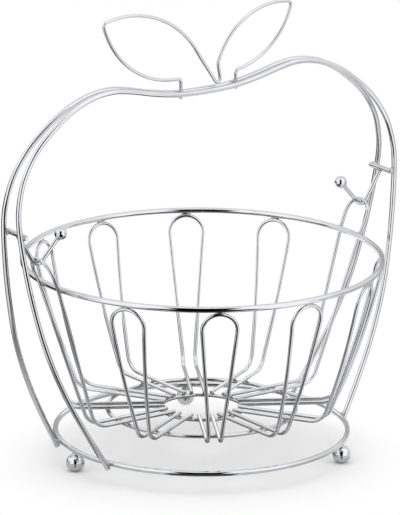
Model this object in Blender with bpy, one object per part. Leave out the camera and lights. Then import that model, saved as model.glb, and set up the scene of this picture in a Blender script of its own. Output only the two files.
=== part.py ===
# Wire fruit basket: a round basket that swings in an apple-shaped wire stand.
# Metres, +Z up. X runs across the apple outline, Y from front to back, and the
# origin is on the floor under the middle of the stand.
import math

import bmesh
import bpy
from mathutils import Vector

for existing in list(bpy.data.objects):
    bpy.data.objects.remove(existing, do_unlink=True)

# Clearance between pieces that touch
TOUCH_GAP = 0.0003

# Stand: hoops, which are two wires bent to the same apple outline
HOOP_WIRE = 0.0040
HOOP_TO_RIM = 0.0356
HOOP_WIDEST_HEIGHT = 0.1980
HOOP_TOP_HEIGHT = 0.2800
HOOP_LEG_SPREAD = 0.0640
HOOP_SPLAY_POWER = 1.35
HOOP_LEG_SLOPE = math.radians(28)
HOOP_TIP_DROP = 0.0035
# (share of the half width, share of the height from the widest place to the top)
HOOP_CROWN_SHARES = (
    (0.000, 0.868), (0.145, 0.878), (0.280, 0.922), (0.395, 0.975), (0.485, 1.000),
    (0.585, 0.978), (0.700, 0.890), (0.803, 0.748), (0.897, 0.570), (0.963, 0.358),
    (0.991, 0.170),
)
# (share of the width from the base ring out, share of the height up to the widest place)
HOOP_LEG_SHARES = (
    (1.000, 1.000), (0.940, 0.808), (0.845, 0.639), (0.705, 0.464), (0.475, 0.278),
    (0.228, 0.125),
)
HOOP_SAMPLES = 3

# Stand: base ring and ball feet
BASE_RING_RADIUS = 0.1064
BASE_RING_WIRE = 0.0040
BASE_RING_STEPS = 64
FOOT_DIAMETER = 0.0134
FOOT_FLAT_DIAMETER = 0.0050
FOOT_ANGLES = {
    "foot_left": math.radians(176),
    "foot_front_right": math.radians(-53),
    "foot_rear_right": math.radians(61),
}

# Stand: leaf wire
LEAF_WIRE = 0.0024
LEAF_REACH = 0.0880
LEAF_RISE = 0.0625
LEAF_CORNER_TRIM = 0.0035
# (share of the reach, share of the rise above the hoops' dip, bulge share of the edge that follows)
LEAF_CORNER_SHARES = (
    (-0.230, -0.055, 0.000), (-0.230, 0.186, 0.180), (-0.998, 0.966, 0.173), (-0.052, 0.424, 0.000),
    (0.127, 0.056, 0.000), (0.166, 0.096, 0.000), (0.137, 0.290, 0.195), (0.877, 0.885, 0.155),
    (0.315, 0.180, 0.000), (0.323, -0.045, 0.000),
)

# Stand: crossbars and hooks
CROSSBAR_WIRE = 0.0038
CROSSBAR_HEIGHT = 0.1873
CROSSBAR_OVERHANG = 0.0025
HOOK_DROP = 0.0243
HOOK_WIRE = 0.0032
HOOK_BEND_RADIUS = 0.0050
HOOK_BALL_DIAMETER = 0.0090
HOOK_BALL_INSET = 0.0194
HOOK_BALL_RISE = 0.0190

# Basket: heights hang down from the hinge, which is the middle of the hook wire at its lowest
HINGE_TO_RIM = 0.0193
BASKET_DEPTH = 0.1095
RIM_RADIUS = 0.1300
RIM_WIRE = 0.0043
RIM_STEPS = 72
FLOOR_CORNER_RADIUS = 0.0970
WALL_BULGE = 0.0030
HANGER_TOP_LEAN = math.radians(23.5)
LOOP_COUNT = 12
LOOP_WIRE = 0.0028
LOOP_TOP_WIDTH = 0.0250
LOOP_BOTTOM_WIDTH = 0.0095
LOOP_BEND_RADIUS = 0.0140
BOTTOM_RING_RADIUS = 0.0686
BOTTOM_RING_WIRE = 0.0030
BOTTOM_RING_STEPS = 48
CENTRE_RING_RADIUS = 0.0300
CENTRE_RING_WIRE = 0.0028
CENTRE_RING_STEPS = 28
RUN_OVERLAP = 0.0030

# Roundness of the wires and balls
WIRE_ROUND_STEPS = 2
ARCH_STEPS = 9
BEND_STEPS = 4
WALL_STEPS = 2
HOOK_BEND_STEPS = 6
LEAF_EDGE_STEPS = 9
LEAF_CORNER_STEPS = 3
BALL_COLUMNS = 18
BALL_ROWS = 10


def chrome(name, tone, roughness):
    material = bpy.data.materials.new(name)
    material.use_nodes = True
    shader = material.node_tree.nodes["Principled BSDF"]
    shader.inputs["Base Color"].default_value = (tone, tone, tone, 1)
    shader.inputs["Metallic"].default_value = 1
    shader.inputs["Roughness"].default_value = roughness
    return material


def wire_curve(name, points, diameter, closed):
    curve = bpy.data.curves.new(name, "CURVE")
    curve.dimensions = "3D"
    curve.bevel_depth = diameter / 2
    curve.bevel_resolution = WIRE_ROUND_STEPS
    curve.use_fill_caps = True
    spline = curve.splines.new("POLY")
    spline.points.add(len(points) - 1)
    for spline_point, point in zip(spline.points, points):
        spline_point.co = (*point, 1)
    spline.use_cyclic_u = closed
    spline.use_smooth = True
    return curve


def place(name, data, material, parent=None):
    data.materials.clear()
    data.materials.append(material)
    obj = bpy.data.objects.new(name, data)
    bpy.context.scene.collection.objects.link(obj)
    obj.parent = parent
    return obj


def smooth_path(points, samples):
    # Centripetal Catmull-Rom curve through the points
    ends = [2 * points[0] - points[1], *points, 2 * points[-1] - points[-2]]
    path = []
    for before, start, end, after in zip(ends, ends[1:], ends[2:], ends[3:]):
        knots = [0]
        for a, b in ((before, start), (start, end), (end, after)):
            knots.append(knots[-1] + math.sqrt((b - a).length))
        for step in range(samples):
            t = knots[1] + (knots[2] - knots[1]) * step / samples
            first = before.lerp(start, (t - knots[0]) / (knots[1] - knots[0]))
            second = start.lerp(end, (t - knots[1]) / (knots[2] - knots[1]))
            third = end.lerp(after, (t - knots[2]) / (knots[3] - knots[2]))
            near = first.lerp(second, (t - knots[0]) / (knots[2] - knots[0]))
            far = second.lerp(third, (t - knots[1]) / (knots[3] - knots[1]))
            path.append(near.lerp(far, (t - knots[1]) / (knots[2] - knots[1])))
    path.append(points[-1])
    return path


def circle(radius, height, steps):
    turns = [2 * math.pi * step / steps for step in range(steps)]
    return [Vector((radius * math.cos(turn), radius * math.sin(turn), height)) for turn in turns]


def bulged_edge(start, end, bulge_share, steps):
    # Arc from start to end that stands out to the left of the way by a share of its chord
    chord = end - start
    aside = Vector((-chord.y, chord.x)) * bulge_share
    if not bulge_share:
        return [start.lerp(end, step / steps) for step in range(steps + 1)]
    half = chord.length / 2
    rise = aside.length
    radius = (half ** 2 + rise ** 2) / (2 * rise)
    centre = (start + end) / 2 + aside.normalized() * (rise - radius)
    sweep = -2 * math.asin(half / radius)
    arm = start - centre
    path = []
    for step in range(steps + 1):
        turn = sweep * step / steps
        cos, sin = math.cos(turn), math.sin(turn)
        path.append(centre + Vector((arm.x * cos - arm.y * sin, arm.x * sin + arm.y * cos)))
    return path


def trimmed(path, trim):
    # The path without the first and last stretch of length trim
    def cut(points):
        left = trim
        for index, (a, b) in enumerate(zip(points, points[1:])):
            length = (b - a).length
            if left < length:
                return [a.lerp(b, left / length), *points[index + 1:]]
            left -= length
        return points[-1:]
    return cut(cut(path)[::-1])[::-1]


def tangent_from(point, centre, radius, side):
    # Where a line from the point touches the circle, on the given side
    away = point - centre
    turn = side * math.acos(radius / away.length)
    cos, sin = math.cos(turn), math.sin(turn)
    arm = Vector((away.x * cos - away.y * sin, away.x * sin + away.y * cos))
    return centre + arm.normalized() * radius


def ball_mesh(name, diameter, flat_diameter):
    # Ball with its middle at the origin, cut flat underneath where a flat is asked for
    radius = diameter / 2
    mesh = bpy.data.meshes.new(name)
    shape = bmesh.new()
    bmesh.ops.create_uvsphere(shape, u_segments=BALL_COLUMNS, v_segments=BALL_ROWS, radius=radius)
    if flat_diameter:
        drop = math.sqrt(radius ** 2 - (flat_diameter / 2) ** 2)
        everything = shape.verts[:] + shape.edges[:] + shape.faces[:]
        bmesh.ops.bisect_plane(
            shape, geom=everything, plane_co=(0, 0, -drop), plane_no=(0, 0, -1), clear_outer=True)
        rim_edges = [edge for edge in shape.edges if edge.is_boundary]
        bmesh.ops.contextual_create(shape, geom=rim_edges)
        bmesh.ops.recalc_face_normals(shape, faces=shape.faces[:])
    shape.to_mesh(mesh)
    shape.free()
    mesh.shade_smooth()
    mesh.set_sharp_from_angle(angle=math.radians(50))
    return mesh


# Heights and places that several pieces share
foot_radius = FOOT_DIAMETER / 2
foot_middle = math.sqrt(foot_radius ** 2 - (FOOT_FLAT_DIAMETER / 2) ** 2)
base_ring_height = foot_middle + foot_radius + TOUCH_GAP + BASE_RING_WIRE / 2
hoop_half_width = RIM_RADIUS + HOOP_TO_RIM
hinge_height = CROSSBAR_HEIGHT - HOOK_DROP
rim_height = hinge_height - HINGE_TO_RIM
floor_height = rim_height - BASKET_DEPTH
hoop_half_gap = (HOOP_WIRE + LEAF_WIRE) / 2 + TOUCH_GAP

stand_material = chrome("stand_chrome", 0.78, 0.08)
foot_material = chrome("foot_chrome", 0.80, 0.05)
leaf_material = chrome("leaf_chrome", 0.80, 0.07)
hook_material = chrome("hook_chrome", 0.79, 0.07)
rim_material = chrome("rim_chrome", 0.76, 0.08)
loop_material = chrome("loop_chrome", 0.74, 0.10)
floor_ring_material = chrome("floor_ring_chrome", 0.72, 0.12)


# Hoops. The legs pass outside the base ring, and the two planes lean apart below the lobes.
def hoop_half():
    # Half outline from the tip of a leg up to the middle of the dip, as (x, z)
    leg_standoff = (HOOP_WIRE / 2 + BASE_RING_WIRE / 2 + TOUCH_GAP) / math.cos(HOOP_LEG_SLOPE)
    leg_reach = BASE_RING_RADIUS + leg_standoff
    leg_x = math.sqrt(leg_reach ** 2 - (HOOP_LEG_SPREAD / 2) ** 2)
    leg_slope = math.tan(HOOP_LEG_SLOPE)
    points = [
        Vector((leg_x - HOOP_TIP_DROP * leg_slope, base_ring_height - HOOP_TIP_DROP)),
        Vector((leg_x, base_ring_height)),
    ]
    for across, up in reversed(HOOP_LEG_SHARES):
        x = leg_x + (hoop_half_width - leg_x) * across
        z = base_ring_height + (HOOP_WIDEST_HEIGHT - base_ring_height) * up
        points.append(Vector((x, z)))
    for across, up in reversed(HOOP_CROWN_SHARES):
        z = HOOP_WIDEST_HEIGHT + (HOOP_TOP_HEIGHT - HOOP_WIDEST_HEIGHT) * up
        points.append(Vector((hoop_half_width * across, z)))
    return points


def hoop_depth(x, z):
    # How far the hoop's wire lies from the middle plane of the stand
    lobe_x = hoop_half_width * max(HOOP_CROWN_SHARES, key=lambda share: share[1])[0]
    if abs(x) <= lobe_x:
        return hoop_half_gap
    down = max(0, (HOOP_TOP_HEIGHT - z) / (HOOP_TOP_HEIGHT - base_ring_height))
    return hoop_half_gap + (HOOP_LEG_SPREAD / 2 - hoop_half_gap) * down ** HOOP_SPLAY_POWER


half = hoop_half()
mirrored = [Vector((-point.x, point.y)) for point in half[-2::-1]]
outline = smooth_path(half + mirrored, HOOP_SAMPLES)
for name, side in (("front_hoop", -1), ("rear_hoop", 1)):
    points = [Vector((p.x, side * hoop_depth(p.x, p.y), p.y)) for p in outline]
    place(name, wire_curve(name, points, HOOP_WIRE, False), stand_material)

hoop_dip_height = half[-1].y


# Base ring and feet
ring_points = circle(BASE_RING_RADIUS, base_ring_height, BASE_RING_STEPS)
place("base_ring", wire_curve("base_ring", ring_points, BASE_RING_WIRE, True), stand_material)
for name, angle in FOOT_ANGLES.items():
    foot = place(name, ball_mesh(name, FOOT_DIAMETER, FOOT_FLAT_DIAMETER), foot_material)
    foot.location = (
        BASE_RING_RADIUS * math.cos(angle), BASE_RING_RADIUS * math.sin(angle), foot_middle)
    foot.rotation_euler.z = angle


# Leaf wire. Both ends stand between the hoops, and its corners are rounded.
corners = [
    Vector((LEAF_REACH * reach, hoop_dip_height + LEAF_RISE * rise))
    for reach, rise, bulge in LEAF_CORNER_SHARES
]
edges = []
for start, end, (_, _, bulge) in zip(corners, corners[1:], LEAF_CORNER_SHARES):
    steps = LEAF_EDGE_STEPS if bulge else 2
    trim = min(LEAF_CORNER_TRIM, (end - start).length / 3)
    edges.append((bulged_edge(start, end, bulge, steps), trim))
leaf_path = [corners[0]]
for index, (edge, trim) in enumerate(edges):
    inner = trimmed(edge, trim)
    if index:
        corner = corners[index]
        last = leaf_path[-1]
        for step in range(1, LEAF_CORNER_STEPS):
            t = step / LEAF_CORNER_STEPS
            leaf_path.append(last.lerp(corner, t).lerp(corner.lerp(inner[0], t), t))
        leaf_path.append(inner[0])
    leaf_path.extend(inner[1:])
leaf_path.append(corners[-1])
leaf_points = [Vector((p.x, 0, p.y)) for p in leaf_path]
place("leaf_wire", wire_curve("leaf_wire", leaf_points, LEAF_WIRE, False), leaf_material)


# Loops of the basket. Every loop runs out along the floor, round a bend and up a wall to an
# arch. A petal's wall bows outward and ends under the rim. A hanger's wall is straight, passes
# outside the rim and leans out further above it.
loop_to_rim = RIM_WIRE / 2 + LOOP_WIRE / 2 + TOUCH_GAP
wall_lean = math.atan2(RIM_RADIUS - FLOOR_CORNER_RADIUS, BASKET_DEPTH)
half_wall = math.hypot(RIM_RADIUS - FLOOR_CORNER_RADIUS, BASKET_DEPTH) / 2
bow_radius = (half_wall ** 2 + WALL_BULGE ** 2) / (2 * WALL_BULGE)
bow_half_turn = math.asin(half_wall / bow_radius)
petal_foot_lean = wall_lean + bow_half_turn
petal_apex = 2 * bow_radius * bow_half_turn - loop_to_rim


def petal_wall(distance):
    # (radius, height) at a distance up the wall from the corner of wall and floor
    lean = petal_foot_lean - distance / bow_radius
    return (
        FLOOR_CORNER_RADIUS + bow_radius * (math.cos(lean) - math.cos(petal_foot_lean)),
        floor_height + bow_radius * (math.sin(petal_foot_lean) - math.sin(lean)))


hanger_rim_x = math.sqrt(RIM_RADIUS ** 2 - (LOOP_TOP_WIDTH / 2) ** 2)
hanger_reach = math.hypot(hanger_rim_x - FLOOR_CORNER_RADIUS, BASKET_DEPTH)
hanger_lean = math.atan2(hanger_rim_x - FLOOR_CORNER_RADIUS, BASKET_DEPTH)
hanger_lean += math.asin(loop_to_rim / hanger_reach)
hanger_knee = BASKET_DEPTH / math.cos(hanger_lean)
hanger_apex_rise = HINGE_TO_RIM + HOOK_WIRE / 2 + LOOP_WIRE / 2 + TOUCH_GAP
hanger_apex = hanger_knee + hanger_apex_rise / math.cos(HANGER_TOP_LEAN)


def hanger_wall(distance):
    below = min(distance, hanger_knee)
    above = distance - below
    return (
        FLOOR_CORNER_RADIUS + below * math.sin(hanger_lean) + above * math.sin(HANGER_TOP_LEAN),
        floor_height + below * math.cos(hanger_lean) + above * math.cos(HANGER_TOP_LEAN))


def loop_path(wall, foot_lean, apex, stations):
    # Path in (radius, sideways, height) from one inner end to the other. The stations are
    # distances up the wall that its legs pass through between the bend and the arch.
    bend_sweep = math.pi / 2 - foot_lean
    foot = LOOP_BEND_RADIUS * math.tan(bend_sweep / 2)
    top = LOOP_TOP_WIDTH / 2
    bottom = LOOP_BOTTOM_WIDTH / 2
    arch_centre = apex - top
    rise = arch_centre - foot
    taper = math.atan2(rise, bottom) - math.acos(top / math.hypot(rise, bottom))
    side = [Vector((CENTRE_RING_RADIUS - RUN_OVERLAP, bottom, floor_height))]
    for step in range(BEND_STEPS + 1):
        turn = bend_sweep * step / BEND_STEPS
        side.append(Vector((
            FLOOR_CORNER_RADIUS - foot + LOOP_BEND_RADIUS * math.sin(turn), bottom,
            floor_height + LOOP_BEND_RADIUS * (1 - math.cos(turn)))))
    for distance in stations:
        radius, height = wall(distance)
        side.append(Vector((radius, bottom + (distance - foot) * math.tan(taper), height)))
    arch = []
    for step in range(ARCH_STEPS + 1):
        turn = (math.pi + 2 * taper) * step / ARCH_STEPS - taper
        radius, height = wall(arch_centre + top * math.sin(turn))
        arch.append(Vector((radius, top * math.cos(turn), height)))
    other_side = [Vector((p.x, -p.y, p.z)) for p in reversed(side)]
    return side + arch + other_side


petal_stations = [petal_apex * step / (WALL_STEPS + 1) for step in range(1, WALL_STEPS + 1)]
hook_x, _ = hanger_wall(hanger_apex)

swing = bpy.data.objects.new("basket_swing", None)
bpy.context.scene.collection.objects.link(swing)
swing.location = (0, 0, hinge_height)
hinge = Vector((0, 0, hinge_height))

petal_path = [p - hinge for p in loop_path(petal_wall, petal_foot_lean, petal_apex, petal_stations)]
hanger_path = [p - hinge for p in loop_path(hanger_wall, hanger_lean, hanger_apex, [hanger_knee])]
petal_curve = wire_curve("petal", petal_path, LOOP_WIRE, False)
hanger_curve = wire_curve("hanger", hanger_path, LOOP_WIRE, False)
hangers = {0: "right_hanger", LOOP_COUNT // 2: "left_hanger"}
petal_number = 0
for index in range(LOOP_COUNT):
    if index in hangers:
        loop = place(hangers[index], hanger_curve, loop_material, swing)
    else:
        petal_number += 1
        loop = place(f"petal_{petal_number:02d}", petal_curve, loop_material, swing)
    loop.rotation_euler.z = 2 * math.pi * index / LOOP_COUNT


# Rings of the basket, with their heights measured from the hinge
def basket_ring(name, radius, wire, height, steps, material):
    points = circle(radius, height - hinge_height, steps)
    place(name, wire_curve(name, points, wire, True), material, swing)


def under_floor(wire):
    return floor_height - LOOP_WIRE / 2 - wire / 2 - TOUCH_GAP


basket_ring("rim_ring", RIM_RADIUS, RIM_WIRE, rim_height, RIM_STEPS, rim_material)
basket_ring(
    "bottom_ring", BOTTOM_RING_RADIUS, BOTTOM_RING_WIRE, under_floor(BOTTOM_RING_WIRE),
    BOTTOM_RING_STEPS, floor_ring_material)
basket_ring(
    "centre_ring", CENTRE_RING_RADIUS, CENTRE_RING_WIRE, under_floor(CENTRE_RING_WIRE),
    CENTRE_RING_STEPS, floor_ring_material)


# Crossbars behind the hoops, on their inner side, and the hooks that hang from them
def hoop_x_at(height):
    for low, high in zip(outline, outline[1:]):
        if low.y <= height <= high.y:
            return low.lerp(high, (height - low.y) / (high.y - low.y)).x
    return hoop_half_width


crossbar_x = hoop_x_at(CROSSBAR_HEIGHT) - HOOP_WIRE / 2 - CROSSBAR_WIRE / 2 - TOUCH_GAP
crossbar_half = hoop_depth(crossbar_x, CROSSBAR_HEIGHT) + CROSSBAR_OVERHANG
bend_centre = Vector((hook_x, hinge_height + HOOK_BEND_RADIUS))
bar = Vector((crossbar_x, CROSSBAR_HEIGHT))
tip_ball = Vector((hook_x - HOOK_BALL_INSET, hinge_height + HOOK_BALL_RISE))
outer_touch = tangent_from(bar, bend_centre, HOOK_BEND_RADIUS, -1)
inner_touch = tangent_from(tip_ball, bend_centre, HOOK_BEND_RADIUS, 1)
outer_end = bar + (outer_touch - bar).normalized() * (CROSSBAR_WIRE / 2 + TOUCH_GAP)
inner_end = tip_ball + (inner_touch - tip_ball).normalized() * (HOOK_BALL_DIAMETER / 2 + TOUCH_GAP)
outer_turn = math.atan2(outer_touch.y - bend_centre.y, outer_touch.x - bend_centre.x)
inner_turn = math.atan2(inner_touch.y - bend_centre.y, inner_touch.x - bend_centre.x)
inner_turn -= 2 * math.pi * (inner_turn > outer_turn)
hook_path = [outer_end]
for step in range(HOOK_BEND_STEPS + 1):
    turn = outer_turn + (inner_turn - outer_turn) * step / HOOK_BEND_STEPS
    hook_path.append(bend_centre + Vector((math.cos(turn), math.sin(turn))) * HOOK_BEND_RADIUS)
hook_path.append(inner_end)

for side_name, side in (("left", -1), ("right", 1)):
    bar_ends = [
        Vector((side * bar.x, -crossbar_half, bar.y)), Vector((side * bar.x, crossbar_half, bar.y))]
    bar_name = f"{side_name}_crossbar"
    place(bar_name, wire_curve(bar_name, bar_ends, CROSSBAR_WIRE, False), stand_material)
    hook_points = [Vector((side * p.x, 0, p.y)) for p in hook_path]
    hook_name = f"{side_name}_hook"
    place(hook_name, wire_curve(hook_name, hook_points, HOOK_WIRE, False), hook_material)
    ball_name = f"{side_name}_hook_ball"
    ball = place(ball_name, ball_mesh(ball_name, HOOK_BALL_DIAMETER, 0), foot_material)
    ball.location = (side * tip_ball.x, 0, tip_ball.y)
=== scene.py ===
# Chrome wire basket that swings in a wire stand
import math

import bmesh
import bpy
from mathutils import Matrix, Vector, kdtree, noise


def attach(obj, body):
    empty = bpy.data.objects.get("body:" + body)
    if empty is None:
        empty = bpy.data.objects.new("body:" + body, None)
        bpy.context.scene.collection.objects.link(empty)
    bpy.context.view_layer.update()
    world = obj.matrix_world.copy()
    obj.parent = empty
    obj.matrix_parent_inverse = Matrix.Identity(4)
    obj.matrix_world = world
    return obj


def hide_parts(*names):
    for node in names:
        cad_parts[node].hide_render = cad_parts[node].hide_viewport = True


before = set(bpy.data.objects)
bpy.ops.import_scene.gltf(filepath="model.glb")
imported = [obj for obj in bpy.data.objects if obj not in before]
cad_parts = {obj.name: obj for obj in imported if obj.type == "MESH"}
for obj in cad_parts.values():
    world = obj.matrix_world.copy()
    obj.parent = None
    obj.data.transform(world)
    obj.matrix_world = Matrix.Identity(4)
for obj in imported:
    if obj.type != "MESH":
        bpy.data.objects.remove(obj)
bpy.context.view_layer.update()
scene = bpy.context.scene
scene.view_settings.view_transform = "Standard"
print("frame loaded:", len(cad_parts), "nodes")


# Camera at the photograph's angle: the left end of the stand comes nearer
cameraSetup = {
    "azimuth": -35.6,
    "elevation": 15.74,
    "roll": 0.42,
    "aim": (0, 0, 0.165),
    "distance": 4.0,
    "focalPixels": 5544.8,
    "framePixels": (400, 515),
    "centrePixel": (202.93, 230.16),
    "sensorWidth": 36,
    "clipEnd": 30,
}
towardCamera = cameraSetup["azimuth"] - 90  # the same direction, in degrees from X


def addCamera(setup):
    azimuth, elevation, roll = (
        math.radians(setup[key]) for key in ("azimuth", "elevation", "roll"))
    back = Vector((
        math.sin(azimuth) * math.cos(elevation), -math.cos(azimuth) * math.cos(elevation),
        math.sin(elevation)))
    right = Vector((math.cos(azimuth), math.sin(azimuth), 0))
    up = back.cross(right)
    rolledRight = right * math.cos(roll) + up * math.sin(roll)
    rolledUp = up * math.cos(roll) - right * math.sin(roll)
    data = bpy.data.cameras.new("studioCamera")
    camera = bpy.data.objects.new("studioCamera", data)
    scene.collection.objects.link(camera)
    turn = Matrix((rolledRight, rolledUp, back)).transposed()
    place = Vector(setup["aim"]) + back * setup["distance"]
    camera.matrix_world = Matrix.Translation(place) @ turn.to_4x4()
    width, height = setup["framePixels"]
    data.sensor_width = setup["sensorWidth"]
    data.lens = data.sensor_width * setup["focalPixels"] / height
    data.shift_x = (width / 2 - setup["centrePixel"][0]) / height
    data.shift_y = (setup["centrePixel"][1] - height / 2) / height
    data.clip_end = setup["clipEnd"]
    scene.camera = camera


addCamera(cameraSetup)
print("camera set")


# Shader nodes
def addNode(tree, kind, values=None, **settings):
    node = tree.nodes.new(kind)
    for key, value in settings.items():
        setattr(node, key, value)
    for key, value in (values or {}).items():
        if isinstance(value, bpy.types.NodeSocket):
            tree.links.new(value, node.inputs[key])
        else:
            node.inputs[key].default_value = value
    return node


def mathNode(tree, operation, *values):
    node = addNode(tree, "ShaderNodeMath", dict(enumerate(values)), operation=operation)
    return node.outputs[0]


def mapRange(tree, value, low, high, toLow=0.0, toHigh=1.0, smooth=True):
    kind = "SMOOTHSTEP" if smooth else "LINEAR"
    node = addNode(tree, "ShaderNodeMapRange", {
        "Value": value, "From Min": low, "From Max": high, "To Min": toLow, "To Max": toHigh,
    }, interpolation_type=kind)
    return node.outputs["Result"]


def noiseNode(tree, place, scale, detail, roughness):
    node = addNode(tree, "ShaderNodeTexNoise", {
        "Vector": place, "Scale": scale, "Detail": detail, "Roughness": roughness,
    }, noise_dimensions="3D")
    return node.outputs["Fac"]


def mixColours(tree, factor, first, second):
    node = addNode(tree, "ShaderNodeMix", {
        "Factor": factor, "A": first, "B": second}, data_type="RGBA")
    return node.outputs["Result"]


def emptyTree(owner):
    owner.use_nodes = True
    owner.node_tree.nodes.clear()
    return owner.node_tree


def newGroup(name, inputs, outputs):
    group = bpy.data.node_groups.new(name, "ShaderNodeTree")
    for label, kind, value in inputs:
        socket = group.interface.new_socket(label, in_out="INPUT", socket_type=kind)
        socket.default_value = value
    for label, kind in outputs:
        group.interface.new_socket(label, in_out="OUTPUT", socket_type=kind)
    return group, addNode(group, "NodeGroupInput"), addNode(group, "NodeGroupOutput")


# Drawn wire: long faint lines left by the die, which the plating carries through.
# Every wire's mesh holds wirePlace, which is (metres along, and the round of the wire as x, y).
def drawnWireGroup():
    group, given, out = newGroup("drawnWire", [
        ("Line Length", "NodeSocketFloat", 0.03),
        ("Lines Round", "NodeSocketFloat", 9.0),
        ("Ripple Length", "NodeSocketFloat", 0.012),
    ], [("Lines", "NodeSocketFloat"), ("Ripple", "NodeSocketFloat")])
    place = addNode(group, "ShaderNodeAttribute", attribute_name="wirePlace")
    parts = addNode(group, "ShaderNodeSeparateXYZ", {"Vector": place.outputs["Vector"]}).outputs
    lineSpace = addNode(group, "ShaderNodeCombineXYZ", {
        "X": mathNode(group, "DIVIDE", parts["X"], given.outputs["Line Length"]),
        "Y": mathNode(group, "MULTIPLY", parts["Y"], given.outputs["Lines Round"]),
        "Z": mathNode(group, "MULTIPLY", parts["Z"], given.outputs["Lines Round"])})
    rippleSpace = addNode(group, "ShaderNodeCombineXYZ", {
        "X": mathNode(group, "DIVIDE", parts["X"], given.outputs["Ripple Length"]),
        "Y": parts["Y"], "Z": parts["Z"]})
    lines = noiseNode(group, lineSpace.outputs[0], scale=1.0, detail=3.0, roughness=0.6)
    ripple = noiseNode(group, rippleSpace.outputs[0], scale=1.0, detail=1.0, roughness=0.4)
    group.links.new(lines, out.inputs["Lines"])
    group.links.new(ripple, out.inputs["Ripple"])
    return group


# Plating: cloudy patches, pinholes and a little dust that settles on what faces up.
# Each pair is where a mask starts and where it is full.
platingShape = {
    "clouds": (0.35, 0.70),
    "pinholes": (0.26, 0.10), "pinholeRarity": 0.86,
    "facesUp": (0.25, 0.95),
    "specks": (0.55, 0.75), "specksPerMetre": 900.0,
}


def platingGroup(look):
    group, given, out = newGroup("plating", [
        ("Cloud Size", "NodeSocketFloat", 0.02),
        ("Pinhole Size", "NodeSocketFloat", 0.0012),
        ("Dust Amount", "NodeSocketFloat", 0.35),
    ], [
        ("Clouds", "NodeSocketFloat"), ("Pinholes", "NodeSocketFloat"),
        ("Dust", "NodeSocketFloat"),
    ])
    spot = addNode(group, "ShaderNodeTexCoord").outputs["Object"]
    cloudScale = mathNode(group, "DIVIDE", 1.0, given.outputs["Cloud Size"])
    clouds = noiseNode(group, spot, cloudScale, detail=4.0, roughness=0.55)
    cloudMask = mapRange(group, clouds, *look["clouds"])
    holes = addNode(group, "ShaderNodeTexVoronoi", {
        "Vector": spot, "Scale": mathNode(group, "DIVIDE", 1.0, given.outputs["Pinhole Size"]),
        "Randomness": 1.0,
    }, feature="F1")
    rare = addNode(group, "ShaderNodeSeparateColor", {"Color": holes.outputs["Color"]})
    chosen = mathNode(group, "GREATER_THAN", rare.outputs["Red"], look["pinholeRarity"])
    outside, inside = look["pinholes"]
    holeShape = mapRange(group, holes.outputs["Distance"], inside, outside, 1.0, 0.0)
    holeMask = mathNode(group, "MULTIPLY", holeShape, chosen)
    shape = addNode(group, "ShaderNodeNewGeometry")
    facing = addNode(group, "ShaderNodeSeparateXYZ", {"Vector": shape.outputs["Normal"]})
    upward = mapRange(group, facing.outputs["Z"], *look["facesUp"])
    specks = noiseNode(group, spot, look["specksPerMetre"], detail=2.0, roughness=0.7)
    settled = mathNode(group, "MULTIPLY", upward, mapRange(group, specks, *look["specks"]))
    dust = mathNode(group, "MULTIPLY", settled, given.outputs["Dust Amount"])
    group.links.new(cloudMask, out.inputs["Clouds"])
    group.links.new(holeMask, out.inputs["Pinholes"])
    group.links.new(dust, out.inputs["Dust"])
    return group


drawnWire = drawnWireGroup()
plating = platingGroup(platingShape)


# A chrome finish. Near a weld the plating is duller and a little warmer.
def chromeFinish(name, look):
    material = bpy.data.materials.new(name)
    material.use_nodes = True
    tree = material.node_tree
    shader = tree.nodes["Principled BSDF"]
    shader.inputs["Metallic"].default_value = 1.0
    coat = addNode(tree, "ShaderNodeGroup", {
        "Cloud Size": look["cloudSize"], "Pinhole Size": look["pinholeSize"],
        "Dust Amount": look["dust"],
    }, node_tree=plating).outputs
    haze = addNode(tree, "ShaderNodeAttribute", attribute_name="weldHaze").outputs["Fac"]
    tint = mathNode(tree, "MULTIPLY", haze, look["weldTint"])
    dull = tuple(part * look["cloudShade"] for part in look["tone"])
    colour = mixColours(tree, coat["Clouds"], (*look["tone"], 1), (*dull, 1))
    colour = mixColours(tree, tint, colour, (*look["weldTone"], 1))
    colour = mixColours(tree, coat["Dust"], colour, (*look["dustTone"], 1))
    tree.links.new(colour, shader.inputs["Base Color"])
    rough = mapRange(
        tree, coat["Clouds"], 0.0, 1.0,
        look["roughness"], look["roughness"] + look["cloudRough"])
    rough = mathNode(tree, "MULTIPLY_ADD", haze, look["weldRough"], rough)
    rough = mathNode(tree, "MULTIPLY_ADD", coat["Dust"], look["dustRough"], rough)
    height = mathNode(tree, "MULTIPLY", coat["Pinholes"], -look["pinholeDepth"])
    if look["lineDepth"]:
        drawn = addNode(tree, "ShaderNodeGroup", {
            "Line Length": look["lineLength"], "Lines Round": look["linesRound"],
            "Ripple Length": look["rippleLength"],
        }, node_tree=drawnWire).outputs
        rough = mathNode(tree, "MULTIPLY_ADD", drawn["Lines"], look["lineRough"], rough)
        height = mathNode(tree, "MULTIPLY_ADD", drawn["Lines"], look["lineDepth"], height)
        height = mathNode(tree, "MULTIPLY_ADD", drawn["Ripple"], look["rippleDepth"], height)
    tree.links.new(rough, shader.inputs["Roughness"])
    bump = addNode(tree, "ShaderNodeBump", {
        "Height": height, "Strength": 1.0, "Distance": look["bumpUnit"]})
    tree.links.new(bump.outputs["Normal"], shader.inputs["Normal"])
    return material


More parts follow.
